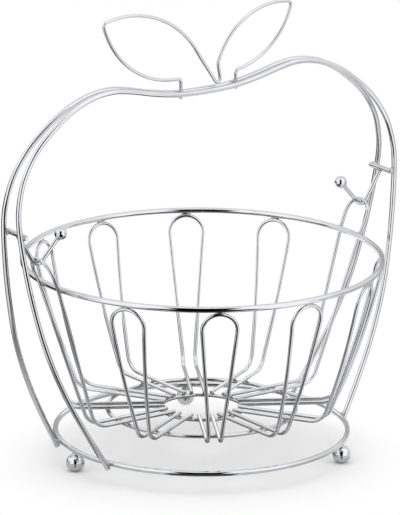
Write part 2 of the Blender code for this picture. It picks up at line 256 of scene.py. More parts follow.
wireLook = {
    "tone": (0.655, 0.665, 0.690), "roughness": 0.025,
    "cloudSize": 0.018, "cloudShade": 0.93, "cloudRough": 0.03,
    "pinholeSize": 0.0012, "pinholeDepth": 0.010,
    "dust": 0.25, "dustTone": (0.55, 0.54, 0.52), "dustRough": 0.5,
    "weldTone": (0.46, 0.44, 0.41), "weldTint": 0.55, "weldRough": 0.14,
    "lineLength": 0.030, "linesRound": 9.0, "lineDepth": 0.003, "lineRough": 0.03,
    "rippleLength": 0.014, "rippleDepth": 0.04, "bumpUnit": 0.001,  # depths are in millimetres
}
finishes = {
    "stand_chrome": chromeFinish("standChrome", wireLook),
    "leaf_chrome": chromeFinish("leafChrome", {**wireLook, "roughness": 0.03, "linesRound": 6.0}),
    "hook_chrome": chromeFinish("hookChrome", {**wireLook, "roughness": 0.03, "linesRound": 7.0}),
    "rim_chrome": chromeFinish("rimChrome", {**wireLook, "roughness": 0.02, "rippleDepth": 0.03}),
    "loop_chrome": chromeFinish("loopChrome", {
        **wireLook, "tone": (0.640, 0.648, 0.668), "roughness": 0.05, "linesRound": 7.0}),
    "floor_ring_chrome": chromeFinish("floorRingChrome", {
        **wireLook, "tone": (0.625, 0.632, 0.648), "roughness": 0.045, "dust": 0.35}),
    "foot_chrome": chromeFinish("ballChrome", {
        **wireLook, "tone": (0.670, 0.677, 0.695), "roughness": 0.02, "cloudSize": 0.012,
        "pinholeSize": 0.0016, "lineDepth": 0.0}),
}
weldBeadFinish = chromeFinish("weldBeadChrome", {
    **wireLook, "tone": (0.56, 0.56, 0.56), "roughness": 0.16, "cloudSize": 0.003,
    "pinholeSize": 0.0007, "pinholeDepth": 0.04, "lineDepth": 0.0, "weldRough": 0.06})
print("finishes made:", len(finishes) + 1)


# Points and paths
zUp = Vector((0, 0, 1))


def polar(radius, angle, height):
    return Vector((radius * math.cos(angle), radius * math.sin(angle), height))


def sideways(outward):
    return Vector((-outward.y, outward.x, 0))


def turnedFlat(point, angle):
    cos, sin = math.cos(angle), math.sin(angle)
    return Vector((point.x * cos - point.y * sin, point.x * sin + point.y * cos))


def turned(point, angle):
    return Vector((*turnedFlat(point, angle), point.z))


def upright(point, side=1):
    # Stands a point of the front drawing up in space, on the right or the left
    return Vector((side * point.x, 0, point.y))


def smoothPath(points, samples):
    # Curve through the points, with its speed set by the root of their spacing
    ends = [2 * points[0] - points[1], *points, 2 * points[-1] - points[-2]]
    path = []
    for before, start, end, after in zip(ends, ends[1:], ends[2:], ends[3:]):
        knots = [0]
        for a, b in ((before, start), (start, end), (end, after)):
            knots.append(knots[-1] + math.sqrt((b - a).length))
        for step in range(samples):
            t = knots[1] + (knots[2] - knots[1]) * step / samples
            first = before.lerp(start, (t - knots[0]) / (knots[1] - knots[0]))
            second = start.lerp(end, (t - knots[1]) / (knots[2] - knots[1]))
            third = end.lerp(after, (t - knots[2]) / (knots[3] - knots[2]))
            near = first.lerp(second, (t - knots[0]) / (knots[2] - knots[0]))
            far = second.lerp(third, (t - knots[1]) / (knots[3] - knots[1]))
            path.append(near.lerp(far, (t - knots[1]) / (knots[2] - knots[1])))
    path.append(points[-1])
    return path


def evenPath(points, spacing):
    # The same path with points an even distance apart
    lengths = [0]
    for a, b in zip(points, points[1:]):
        lengths.append(lengths[-1] + (b - a).length)
    steps = max(2, round(lengths[-1] / spacing))
    path = []
    index = 0
    for step in range(steps + 1):
        target = lengths[-1] * step / steps
        while index < len(points) - 2 and lengths[index + 1] < target:
            index += 1
        share = (target - lengths[index]) / (lengths[index + 1] - lengths[index])
        path.append(points[index].lerp(points[index + 1], share))
    return path


# Meshes, pieces and welds
sharpFrom = {"wireEnd": math.radians(35), "ballNeck": math.radians(40)}
weldSpots = {"stand": [], "basket": []}
pieces = []


def meshOf(shape, name):
    mesh = bpy.data.meshes.new(name)
    shape.to_mesh(mesh)
    shape.free()
    return mesh


def smoothMeshOf(shape, name, sharpAngle=None):
    bmesh.ops.recalc_face_normals(shape, faces=shape.faces[:])
    mesh = meshOf(shape, name)
    mesh.shade_smooth()
    if sharpAngle:
        mesh.set_sharp_from_angle(angle=sharpAngle)
    return mesh


def tubeMesh(name, points, size, closed=False, swell=None):
    # Wire swept along the points. Its cut ends are chamfered, and swell changes its radius.
    count, sides, chamfer = len(points), size["sides"], size.get("chamfer", 0)
    tangents = []
    for index in range(count):
        ahead = points[(index + 1) % count] if closed or index < count - 1 else points[index]
        behind = points[index - 1] if closed or index else points[index]
        tangents.append((ahead - behind).normalized())
    normal = tangents[0].orthogonal().normalized()
    distance = 0
    rings = []
    shape = bmesh.new()
    placeLayer = shape.verts.layers.float_vector.new("wirePlace")

    def addRing(point, tangent, side, radius, along):
        across = tangent.cross(side)
        ring = []
        for step in range(sides):
            turn = 2 * math.pi * step / sides
            cos, sin = math.cos(turn), math.sin(turn)
            vert = shape.verts.new(point + (side * cos + across * sin) * radius)
            vert[placeLayer] = (along, cos, sin)
            ring.append(vert)
        rings.append(ring)

    for index, (point, tangent) in enumerate(zip(points, tangents)):
        if index:
            distance += (point - points[index - 1]).length
            normal = tangents[index - 1].rotation_difference(tangent) @ normal
        normal = (normal - tangent * normal.dot(tangent)).normalized()
        radius = size["wire"] / 2 * (swell(distance) if swell else 1)
        if chamfer and index == 0:
            addRing(point, tangent, normal, radius - chamfer, distance)
            addRing(point + tangent * chamfer, tangent, normal, radius, distance)
        elif chamfer and index == count - 1:
            addRing(point - tangent * chamfer, tangent, normal, radius, distance)
            addRing(point, tangent, normal, radius - chamfer, distance)
        else:
            addRing(point, tangent, normal, radius, distance)
    pairs = list(zip(rings, rings[1:]))
    if closed:
        pairs.append((rings[-1], rings[0]))
    for near, far in pairs:
        offset = 0
        if near is rings[-1]:  # where a closed wire meets itself, each point joins its nearest
            offset = min(range(sides), key=lambda step: (far[step].co - near[0].co).length)
        for step in range(sides):
            after = (step + 1) % sides
            shape.faces.new((
                near[step], near[after],
                far[(after + offset) % sides], far[(step + offset) % sides]))
    if closed:
        return smoothMeshOf(shape, name)
    shape.faces.new(rings[0][::-1])
    shape.faces.new(rings[-1])
    return smoothMeshOf(shape, name, sharpFrom["wireEnd"])


def addPiece(name, mesh, slot, body, node=None, material=None):
    mesh.materials.append(material or finishes[slot])
    piece = bpy.data.objects.new(name, mesh)
    scene.collection.objects.link(piece)
    if node:
        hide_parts(node)
    pieces.append((piece, body))


def weldAt(body, point, axis, normal, size):
    # Remembers a weld: its place, the way it runs, the way it faces and its size
    weldSpots[body].append((
        Vector(point), Vector(axis).normalized(), Vector(normal).normalized(), size))


# Sizes in metres that several pieces share.
# A weld's size is half its length, half its height and half its width.
touchGap = 0.0003
hingeHeight = 0.1630
hoop = {
    "wire": 0.0040, "halfWidth": 0.1656, "widestHeight": 0.1980, "topHeight": 0.2800,
    "legSpread": 0.0640, "splayPower": 1.35, "legSlope": math.radians(28), "tipDrop": 0.0035,
    "crownShares": (
        (0.000, 0.868), (0.145, 0.878), (0.280, 0.922), (0.395, 0.975), (0.485, 1.000),
        (0.585, 0.978), (0.700, 0.890), (0.803, 0.748), (0.897, 0.570), (0.963, 0.358),
        (0.991, 0.170),
    ),
    "legShares": (
        (1.000, 1.000), (0.940, 0.808), (0.845, 0.639), (0.705, 0.464), (0.475, 0.278),
        (0.228, 0.125),
    ),
    "chamfer": 0.0005, "curveSamples": 14, "spacing": 0.0024, "sides": 24,
    "weld": (0.0021, 0.0008, 0.0019),
}
baseRing = {
    "radius": 0.1064, "wire": 0.0040, "steps": 220, "sides": 24, "joint": math.radians(118)}
foot = {
    "ball": 0.0134, "flat": 0.0050, "neck": 0.0016,
    "angles": {
        "left": math.radians(176), "front_right": math.radians(-53),
        "rear_right": math.radians(61)},
    "weld": (0.0024, 0.0009, 0.0018),
}
leaf = {
    "wire": 0.0024, "reach": 0.0880, "rise": 0.0625, "cornerTrim": 0.0035,
    "cornerShares": (  # across, up, and how far the edge that follows bulges
        (-0.230, -0.055, 0.000), (-0.230, 0.186, 0.180), (-0.998, 0.966, 0.173),
        (-0.052, 0.424, 0.000), (0.127, 0.056, 0.000), (0.166, 0.096, 0.000),
        (0.137, 0.290, 0.195), (0.877, 0.885, 0.155), (0.315, 0.180, 0.000),
        (0.323, -0.045, 0.000),
    ),
    "chamfer": 0.0003, "edgeSteps": 40, "cornerSteps": 8, "spacing": 0.0012, "sides": 18,
    "weld": (0.0017, 0.0007, 0.0015),
}
hook = {
    "wire": 0.0032, "bendRadius": 0.0050, "ball": 0.0090, "ballInset": 0.0194,
    "ballRise": 0.0190, "neckFlare": 0.0002, "bendSteps": 24, "spacing": 0.0009, "sides": 20,
    "weld": (0.0021, 0.0007, 0.0019),
}
rim = {
    "radius": 0.1300, "wire": 0.0043, "toHinge": 0.0193, "steps": 260, "sides": 24,
    "joint": math.radians(100)}
loop = {
    "count": 12, "wire": 0.0028, "topWidth": 0.0250, "bottomWidth": 0.0095,
    "bendRadius": 0.0140, "cornerRadius": 0.0970, "depth": 0.1095, "wallBulge": 0.0030,
    "hangerTopLean": math.radians(23.5), "runOverlap": 0.0030, "chamfer": 0.0004,
    "bendSteps": 16, "wallSteps": 40, "archSteps": 40, "spacing": 0.0018, "sides": 18,
    "petalWeld": (0.0034, 0.0007, 0.0013), "floorWeld": (0.0016, 0.0006, 0.0014),
    "hangerWeld": (0.0018, 0.0008, 0.0018), "hangerWeldShare": 0.6,
}
bottomRing = {
    "radius": 0.0686, "wire": 0.0030, "steps": 150, "sides": 24, "joint": math.radians(75)}
centreRing = {
    "radius": 0.0300, "wire": 0.0028, "steps": 80, "sides": 24, "joint": math.radians(45)}

footRadius = foot["ball"] / 2
footMiddle = math.sqrt(footRadius ** 2 - (foot["flat"] / 2) ** 2)
baseRingHeight = footMiddle + footRadius + touchGap + baseRing["wire"] / 2
rimHeight = hingeHeight - rim["toHinge"]
floorHeight = rimHeight - loop["depth"]
hoopHalfGap = (hoop["wire"] + leaf["wire"]) / 2 + touchGap


# Hoops: two wires bent to one outline, side by side on top and spread at the legs
def hoopOutline():
    standoff = (hoop["wire"] / 2 + baseRing["wire"] / 2 + touchGap) / math.cos(hoop["legSlope"])
    legX = math.sqrt((baseRing["radius"] + standoff) ** 2 - (hoop["legSpread"] / 2) ** 2)
    tipX = legX - hoop["tipDrop"] * math.tan(hoop["legSlope"])
    legRise = hoop["widestHeight"] - baseRingHeight
    crownRise = hoop["topHeight"] - hoop["widestHeight"]
    points = [Vector((tipX, baseRingHeight - hoop["tipDrop"])), Vector((legX, baseRingHeight))]
    for across, up in reversed(hoop["legShares"]):
        points.append(Vector((
            legX + (hoop["halfWidth"] - legX) * across, baseRingHeight + legRise * up)))
    for across, up in reversed(hoop["crownShares"]):
        points.append(Vector((hoop["halfWidth"] * across, hoop["widestHeight"] + crownRise * up)))
    mirrored = [Vector((-point.x, point.y)) for point in points[-2::-1]]
    return legX, smoothPath(points + mirrored, hoop["curveSamples"])


def hoopDepth(x, z):
    lobeX = hoop["halfWidth"] * max(hoop["crownShares"], key=lambda share: share[1])[0]
    if abs(x) <= lobeX:
        return hoopHalfGap
    down = max(0, (hoop["topHeight"] - z) / (hoop["topHeight"] - baseRingHeight))
    return hoopHalfGap + (hoop["legSpread"] / 2 - hoopHalfGap) * down ** hoop["splayPower"]


def outlineXAt(height):
    for low, high in zip(outline, outline[1:]):
        if low.y <= height <= high.y:
            return low.lerp(high, (height - low.y) / (high.y - low.y)).x


def outlineHeightAt(x):
    for near, far in zip(outline, outline[1:]):
        if far.x <= x <= near.x and near.y > hoop["widestHeight"]:
            return near.lerp(far, (near.x - x) / (near.x - far.x)).y


legX, outline = hoopOutline()
dipHeight = outlineHeightAt(0)
for name, node, side in (("frontHoop", "front_hoop", -1), ("rearHoop", "rear_hoop", 1)):
    path = [Vector((p.x, side * hoopDepth(p.x, p.y), p.y)) for p in outline]
    mesh = tubeMesh(name, evenPath(path, hoop["spacing"]), hoop)
    addPiece(name, mesh, "stand_chrome", "stand", node)
    for legSide in (-1, 1):
        leg = Vector((legSide * legX, side * hoop["legSpread"] / 2, baseRingHeight))
        outward = Vector((leg.x, leg.y, 0)).normalized()
        spot = leg - outward * hoop["wire"] / 2
        weldAt("stand", spot, sideways(outward), outward, hoop["weld"])
print("hoops made")


# Rings. Each is one wire whose butt joint is a little thicker, with a slight neck on each side.
buttJoint = {
    "swell": 0.05, "swellLength": 0.0011, "neck": 0.015, "neckPlace": 0.0028,
    "neckLength": 0.0012}


def ringPiece(name, node, ring, height, slot, body):
    path = []
    for step in range(ring["steps"]):
        turn = ring["joint"] + 2 * math.pi * step / ring["steps"]
        path.append(polar(ring["radius"], turn, height))
    around = 2 * math.pi * ring["radius"]

    def jointSwell(distance):
        off = min(distance, around - distance)
        swell = math.exp(-(off / buttJoint["swellLength"]) ** 2)
        neck = math.exp(-((off - buttJoint["neckPlace"]) / buttJoint["neckLength"]) ** 2)
        return 1 + buttJoint["swell"] * swell - buttJoint["neck"] * neck

    mesh = tubeMesh(name, path, ring, closed=True, swell=jointSwell)
    addPiece(name, mesh, slot, body, node)


def underFloor(ring):
    return floorHeight - loop["wire"] / 2 - ring["wire"] / 2 - touchGap


ringPiece("baseRing", "base_ring", baseRing, baseRingHeight, "stand_chrome", "stand")
ringPiece("rimRing", "rim_ring", rim, rimHeight, "rim_chrome", "basket")
for name, node, ring in (
        ("bottomRing", "bottom_ring", bottomRing), ("centreRing", "centre_ring", centreRing)):
    ringPiece(name, node, ring, underFloor(ring), "floor_ring_chrome", "basket")
print("rings made")


# Balls: turned on a lathe, with a small neck where the wire goes in
ballShape = {"turnSteps": 48, "roundSteps": 28, "neckSteps": 6, "shoulder": 1.25}


def lathed(name, profile):
    steps = ballShape["turnSteps"]
    shape = bmesh.new()
    rings = []
    for radius, height in profile:
        turns = [2 * math.pi * step / steps for step in range(steps if radius else 1)]
        rings.append([shape.verts.new(polar(radius, turn, height)) for turn in turns])
    for low, high in zip(rings, rings[1:]):
        for step in range(steps):
            after = (step + 1) % steps
            corners = [
                low[step % len(low)], low[after % len(low)],
                high[after % len(high)], high[step % len(high)]]
            shape.faces.new(list(dict.fromkeys(corners)))
    return smoothMeshOf(shape, name, sharpFrom["ballNeck"])


def ballMesh(name, radius, neckRadius, flatRadius=0):
    # From the flat at the bottom, if any, round the ball and up a flared neck
    start = math.asin(flatRadius / radius)
    end = math.pi - math.asin(neckRadius / radius) * ballShape["shoulder"]
    profile = [(0, -radius * math.cos(start))] if flatRadius else []
    for step in range(ballShape["roundSteps"] + 1):
        turn = start + (end - start) * step / ballShape["roundSteps"]
        profile.append((radius * math.sin(turn), -radius * math.cos(turn)))
    lastRadius, lastHeight = profile[-1]
    neckHeight = radius + touchGap * 2
    for step in range(1, ballShape["neckSteps"] + 1):
        share = step / ballShape["neckSteps"]
        flare = lastRadius + (neckRadius - lastRadius) * math.sin(share * math.pi / 2)
        profile.append((flare, lastHeight + (neckHeight - lastHeight) * share))
    profile.append((0, neckHeight))
    return lathed(name, profile)


for place, angle in foot["angles"].items():
    name = "footBall_" + place
    mesh = ballMesh(name, footRadius, foot["neck"], foot["flat"] / 2)
    spot = polar(baseRing["radius"], angle, footMiddle)
    mesh.transform(Matrix.Translation(spot) @ Matrix.Rotation(angle, 4, "Z"))
    addPiece(name, mesh, "foot_chrome", "stand", "foot_" + place)
    weldAt("stand", spot + zUp * footRadius, sideways(polar(1, angle, 0)), zUp, foot["weld"])
print("feet made")


# Leaf wire: one wire bent into two leaves, with both ends held between the hoops
def bulgedEdge(start, end, share):
    steps = leaf["edgeSteps"]
    if not share:
        return [start.lerp(end, step / steps) for step in range(steps + 1)]
    chord = end - start
    aside = Vector((-chord.y, chord.x)) * share
    half = chord.length / 2
    radius = (half ** 2 + aside.length_squared) / (2 * aside.length)
    centre = (start + end) / 2 + aside.normalized() * (aside.length - radius)
    sweep = -2 * math.asin(half / radius)
    arm = start - centre
    return [centre + turnedFlat(arm, sweep * step / steps) for step in range(steps + 1)]


def trimmedPath(path, trim):
    def cut(points):
        left = trim
        for index, (a, b) in enumerate(zip(points, points[1:])):
            length = (b - a).length
            if left < length:
                return [a.lerp(b, left / length), *points[index + 1:]]
            left -= length
        return points[-1:]
    return cut(cut(path)[::-1])[::-1]


corners = [
    Vector((leaf["reach"] * across, dipHeight + leaf["rise"] * up))
    for across, up, _ in leaf["cornerShares"]]
leafPath = [corners[0]]
for index, (start, end) in enumerate(zip(corners, corners[1:])):
    trim = min(leaf["cornerTrim"], (end - start).length / 3)  # at most a third of the edge
    inner = trimmedPath(bulgedEdge(start, end, leaf["cornerShares"][index][2]), trim)
    if index:
        last = leafPath[-1]
        for step in range(1, leaf["cornerSteps"] + 1):
            t = step / leaf["cornerSteps"]
            leafPath.append(last.lerp(start, t).lerp(start.lerp(inner[0], t), t))
    leafPath.extend(inner[1:])
leafPath.append(corners[-1])
path = evenPath([upright(p) for p in leafPath], leaf["spacing"])
addPiece("leafWire", tubeMesh("leafWire", path, leaf), "leaf_chrome", "stand", "leaf_wire")
for x in (corners[0].x, corners[-1].x):
    for side in (-1, 1):
        spot = (x, side * leaf["wire"] / 2, outlineHeightAt(x))
        weldAt("stand", spot, zUp, (0, 1, 0), leaf["weld"])
print("leaf wire made")


# Loops of the basket: out along the floor, round a bend and up a wall to an arch.
# A petal's wall bows outward and ends under the rim. A hanger passes outside it to the hook.
loopToRim = rim["wire"] / 2 + loop["wire"] / 2 + touchGap
wallReach = rim["radius"] - loop["cornerRadius"]
halfWall = math.hypot(wallReach, loop["depth"]) / 2
bowRadius = (halfWall ** 2 + loop["wallBulge"] ** 2) / (2 * loop["wallBulge"])
bowHalfTurn = math.asin(halfWall / bowRadius)
petalLean = math.atan2(wallReach, loop["depth"]) + bowHalfTurn
petalApex = 2 * bowRadius * bowHalfTurn - loopToRim


def petalWall(distance):
    lean = petalLean - distance / bowRadius
    return (
        loop["cornerRadius"] + bowRadius * (math.cos(lean) - math.cos(petalLean)),
        floorHeight + bowRadius * (math.sin(petalLean) - math.sin(lean)))


hangerRimX = math.sqrt(rim["radius"] ** 2 - (loop["topWidth"] / 2) ** 2)
hangerRun = hangerRimX - loop["cornerRadius"]
hangerLean = math.atan2(hangerRun, loop["depth"]) + math.asin(
    loopToRim / math.hypot(hangerRun, loop["depth"]))
hangerKnee = loop["depth"] / math.cos(hangerLean)
hangerRise = rim["toHinge"] + hook["wire"] / 2 + loop["wire"] / 2 + touchGap
hangerApex = hangerKnee + hangerRise / math.cos(loop["hangerTopLean"])


def hangerWall(distance):
    below = min(distance, hangerKnee)
    above = distance - below
    topLean = loop["hangerTopLean"]
    return (
        loop["cornerRadius"] + below * math.sin(hangerLean) + above * math.sin(topLean),
        floorHeight + below * math.cos(hangerLean) + above * math.cos(topLean))


def loopPath(wall, footLean, apex):
    sweep = math.pi / 2 - footLean
    bendLength = loop["bendRadius"] * math.tan(sweep / 2)
    bendStart = loop["cornerRadius"] - bendLength
    top, bottom = loop["topWidth"] / 2, loop["bottomWidth"] / 2
    archCentre = apex - top
    rise = archCentre - bendLength
    taper = math.atan2(rise, bottom) - math.acos(top / math.hypot(rise, bottom))
    side = [Vector((centreRing["radius"] - loop["runOverlap"], bottom, floorHeight))]
    for step in range(loop["bendSteps"] + 1):
        turn = sweep * step / loop["bendSteps"]
        side.append(Vector((
            bendStart + loop["bendRadius"] * math.sin(turn), bottom,
            floorHeight + loop["bendRadius"] * (1 - math.cos(turn)))))
    wallLength = archCentre - top * math.sin(taper) - bendLength
    for step in range(1, loop["wallSteps"]):
        distance = bendLength + wallLength * step / loop["wallSteps"]
        radius, height = wall(distance)
        side.append(Vector((radius, bottom + (distance - bendLength) * math.tan(taper), height)))
    arch = []
    for step in range(loop["archSteps"] + 1):
        turn = (math.pi + 2 * taper) * step / loop["archSteps"] - taper
        radius, height = wall(archCentre + top * math.sin(turn))
        arch.append(Vector((radius, top * math.cos(turn), height)))
    path = side + arch + [Vector((p.x, -p.y, p.z)) for p in reversed(side)]
    return evenPath(path, loop["spacing"]), bottom + (hangerKnee - bendLength) * math.tan(taper)


petalPath, _ = loopPath(petalWall, petalLean, petalApex)
hangerPath, kneeSide = loopPath(hangerWall, hangerLean, hangerApex)
hangers = {0: ("hanger_right", "right_hanger"), loop["count"] // 2: ("hanger_left", "left_hanger")}
petalNumber = 0
for index in range(loop["count"]):
    angle = 2 * math.pi * index / loop["count"]
    outward = polar(1, angle, 0)
    aside = sideways(outward)
    if index in hangers:
        name, node = hangers[index]
        path = hangerPath
        kneeX, kneeZ = hangerWall(hangerKnee)
        for side in (-1, 1):
            knee = turned(Vector((kneeX, side * kneeSide, kneeZ)), angle)
            kneeOutward = Vector((knee.x, knee.y, 0)).normalized()
            rimSpot = kneeOutward * rim["radius"] + zUp * rimHeight
            spot = rimSpot.lerp(knee, loop["hangerWeldShare"])
            weldAt("basket", spot, aside, knee - rimSpot, loop["hangerWeld"])
    else:
        petalNumber += 1
        name, node = f"petal_{petalNumber:02d}_wire", f"petal_{petalNumber:02d}"
        path = petalPath
        apexX, apexZ = petalWall(petalApex)
        apex = outward * apexX + zUp * apexZ
        toRim = (outward * rim["radius"] + zUp * rimHeight - apex).normalized()
        spot = apex + toRim * (loop["wire"] + touchGap) / 2
        weldAt("basket", spot, aside, toRim, loop["petalWeld"])
    mesh = tubeMesh(name, [turned(p, angle) for p in path], loop)
    addPiece(name, mesh, "loop_chrome", "basket", node)
    for ring in (bottomRing, centreRing):
        for side in (-1, 1):
            y = side * loop["bottomWidth"] / 2
            x = math.sqrt(ring["radius"] ** 2 - y ** 2)
            spot = turned(Vector((x, y, floorHeight - loop["wire"] / 2)), angle)
            weldAt("basket", spot, outward, zUp, loop["floorWeld"])
print("loops made:", loop["count"])


# Crossbars on the inner side of the hoops, and the hooks that hang from them
crossbar = {
    "wire": 0.0038, "height": 0.1873, "overhang": 0.0025, "chamfer": 0.0004,
    "spacing": 0.002, "sides": 24, "weld": (0.0027, 0.0013, 0.0026),
}


def tangentFrom(point, centre, radius, side):
    away = point - centre
    arm = turnedFlat(away, side * math.acos(radius / away.length))
    return centre + arm.normalized() * radius


hookX, _ = hangerWall(hangerApex)
barToHoop = hoop["wire"] / 2 + crossbar["wire"] / 2 + touchGap
barX = outlineXAt(crossbar["height"]) - barToHoop
bar = Vector((barX, crossbar["height"]))
hoopHalf = hoopDepth(barX, crossbar["height"])
crossbarHalf = hoopHalf + crossbar["overhang"]
bendCentre = Vector((hookX, hingeHeight + hook["bendRadius"]))
tipBall = Vector((hookX - hook["ballInset"], hingeHeight + hook["ballRise"]))
outerTouch = tangentFrom(bar, bendCentre, hook["bendRadius"], -1)
innerTouch = tangentFrom(tipBall, bendCentre, hook["bendRadius"], 1)
outerEnd = bar + (outerTouch - bar).normalized() * (crossbar["wire"] / 2 + touchGap)
innerEnd = tipBall + (innerTouch - tipBall).normalized() * (hook["ball"] / 2 + touchGap)
outerTurn = math.atan2(outerTouch.y - bendCentre.y, outerTouch.x - bendCentre.x)
innerTurn = math.atan2(innerTouch.y - bendCentre.y, innerTouch.x - bendCentre.x)
innerTurn -= 2 * math.pi * (innerTurn > outerTurn)
hookPath = [outerEnd]
for step in range(hook["bendSteps"] + 1):
    turn = outerTurn + (innerTurn - outerTurn) * step / hook["bendSteps"]
    hookPath.append(bendCentre + Vector((math.cos(turn), math.sin(turn))) * hook["bendRadius"])
hookPath.append(innerEnd)

for sideName, side in (("left", -1), ("right", 1)):
    name = "crossbar_" + sideName
    ends = [Vector((side * bar.x, y, bar.y)) for y in (-crossbarHalf, crossbarHalf)]
    mesh = tubeMesh(name, evenPath(ends, crossbar["spacing"]), crossbar)
    addPiece(name, mesh, "stand_chrome", "stand", sideName + "_crossbar")
    for y in (-hoopHalf, hoopHalf):
        spot = (side * (bar.x + crossbar["wire"] / 2), y, bar.y)
        weldAt("stand", spot, (0, 1, 0), (1, 0, 0), crossbar["weld"])
    name = "hook_" + sideName
    path = evenPath([upright(p, side) for p in hookPath], hook["spacing"])
    addPiece(name, tubeMesh(name, path, hook), "hook_chrome", "stand", sideName + "_hook")
    down = upright(outerTouch - bar, side).normalized()
    weldAt("stand", upright(outerEnd, side), (0, 1, 0), down, hook["weld"])
    name = "hookBall_" + sideName
    mesh = ballMesh(name, hook["ball"] / 2, hook["wire"] / 2 + hook["neckFlare"])
    toHook = upright(innerTouch - tipBall, side).normalized()
    turn = zUp.rotation_difference(toHook).to_matrix().to_4x4()
    mesh.transform(Matrix.Translation(upright(tipBall, side)) @ turn)
    addPiece(name, mesh, "foot_chrome", "stand", sideName + "_hook_ball")
print("crossbars and hooks made")


# Weld beads: a little lens of run metal at every joint, each a bit different
weldBead = {"subdivisions": 3, "wobble": 0.16, "wobbleScale": 1.7, "wobbleStep": 3.1}


def weldBeads(name, body, slot):
    shape = bmesh.new()
    for number, (point, axis, normal, size) in enumerate(weldSpots[body]):
        halfLength, halfHeight, halfWidth = size
        made = bmesh.ops.create_icosphere(
            shape, subdivisions=weldBead["subdivisions"], radius=1)
        shift = Vector((number * weldBead["wobbleStep"], 0, 0))
        across = normal.cross(axis).normalized()
        level = axis.cross(across).normalized()
        for vert in made["verts"]:
            rough = noise.noise(vert.co * weldBead["wobbleScale"] + shift)
            local = vert.co * (1 + weldBead["wobble"] * rough)
            vert.co = (
                point + axis * local.x * halfLength + level * local.z * halfHeight
                + across * local.y * halfWidth)
    addPiece(name, smoothMeshOf(shape, name), slot, body, material=weldBeadFinish)


weldBeads("standWelds", "stand", "stand_chrome")
weldBeads("basketWelds", "basket", "loop_chrome")
print("welds made:", len(weldSpots["stand"]) + len(weldSpots["basket"]))


# Haze round each weld, kept on the meshes for the finishes to read
hazeReach = 0.0032
weldTrees = {}
for body, spots in weldSpots.items():
    weldTrees[body] = kdtree.KDTree(len(spots))
    for index, spot in enumerate(spots):
        weldTrees[body].insert(spot[0], index)
    weldTrees[body].balance()
for piece, body in pieces:
    haze = piece.data.attributes.new("weldHaze", "FLOAT", "POINT")
    for vert, value in zip(piece.data.vertices, haze.data):
        toWeld = weldTrees[body].find(vert.co)[2]
        value.value = math.exp(-(toWeld / hazeReach) ** 2)
    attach(piece, body)
print("pieces ride:", len(pieces))


# Floor: pale, with a painted shadow. Near the stand it is a grey lit floor that keeps the real
# shadows, and this grey patch round a middle set towards the camera paints the basket's shadow.
# Away from the stand it turns to the white of the backdrop.
floorLook = {
    "radius": 0.22, "segments": 96, "tone": (0.83, 0.83, 0.83), "middle": (-0.023, -0.032, 0),
    "fadeFrom": 0.100, "fadeTo": 0.164,
}


def seenStraight(tree):
    # 1 for what the camera, the metal or glass shows, and 0 for the light on the object
    ray = addNode(tree, "ShaderNodeLightPath").outputs
    seen = mathNode(tree, "MAXIMUM", ray["Is Camera Ray"], ray["Is Glossy Ray"])
    return mathNode(tree, "MAXIMUM", seen, ray["Is Transmission Ray"])


def addFloor(look):
    shape = bmesh.new()
    bmesh.ops.create_circle(
        shape, cap_ends=True, segments=look["segments"], radius=look["radius"])
    mesh = meshOf(shape, "studioFloor")
    floor = bpy.data.objects.new("studioFloor", mesh)
    scene.collection.objects.link(floor)
    material = bpy.data.materials.new("paleFloorPaintedShadow")
    tree = emptyTree(material)
    spot = addNode(tree, "ShaderNodeNewGeometry")
    away = addNode(tree, "ShaderNodeVectorMath", {
        0: spot.outputs["Position"], 1: look["middle"]}, operation="DISTANCE")
    # Painted shadow: the floor stays grey round the middle and turns white between fadeFrom and
    # fadeTo
    fade = mapRange(tree, away.outputs["Value"], look["fadeFrom"], look["fadeTo"])
    diffuse = addNode(tree, "ShaderNodeBsdfDiffuse", {"Color": (*look["tone"], 1)})
    white = addNode(tree, "ShaderNodeEmission", {"Color": (1, 1, 1, 1), "Strength": 1.0})
    mixed = addNode(tree, "ShaderNodeMixShader", {
        0: mathNode(tree, "MULTIPLY", fade, seenStraight(tree)),
        1: diffuse.outputs[0], 2: white.outputs[0]})
    addNode(tree, "ShaderNodeOutputMaterial", {"Surface": mixed.outputs[0]})
    mesh.materials.append(material)


addFloor(floorLook)


# Painted reflections: cards that only the metal reflects, hidden from the camera, from diffuse and
# transmission rays and from shadows. Most glow though they are no lamps. A dark gap in front
# paints the line down each wire, a white card on either side of it the bright bands, and a grey
# one behind each of those the edges. More of them hang above and stand at the back. Two are seen
# from one side
# only: a white one close behind the basket, from the basket, and a dark disc low in the basket,
# from above, which paints the shade inside the basket. Painted shade sheets, grey and see-through,
# darken what the metal shows of the floor, and a dark strip runs from each foot to the camera,
# which paints the dark streak on each ball.
# turn is a card's direction in degrees from X. Each row is (distance, height, its two ends in
# degrees from turn, glow), and glow 1 is the white of the room. soft is the share of half the
# card over which its ends fade into that white, and kind is its material.
cardColumns = 48
sheetLift, shadeLift, cardLift, stripLift, gapLift = 0.0005, 0.0006, 0.0008, 0.0010, 0.0012
gapRows = (
    (0.10, gapLift, -16, 16, 0.10), (0.20, gapLift, -22, 22, 0.04), (0.36, gapLift, -36, 36, 0.0),
    (1.2, gapLift, -32, 32, 0.0), (2.6, gapLift, -19, 19, 0.0), (2.6, 0.9, -20, 20, 0.0),
    (2.6, 3.4, -33, 33, 0.0), (2.6, 5.0, -33, 33, 0.4))
whiteRightRows = (
    (0.14, cardLift, -16, 24, 0.9), (0.28, cardLift, -16, 24, 1.3), (1.2, cardLift, -18, 22, 1.4),
    (2.6, cardLift, -28, 22, 1.4), (2.6, 0.5, -28, 22, 1.4), (2.6, 1.2, -28, 22, 1.3))
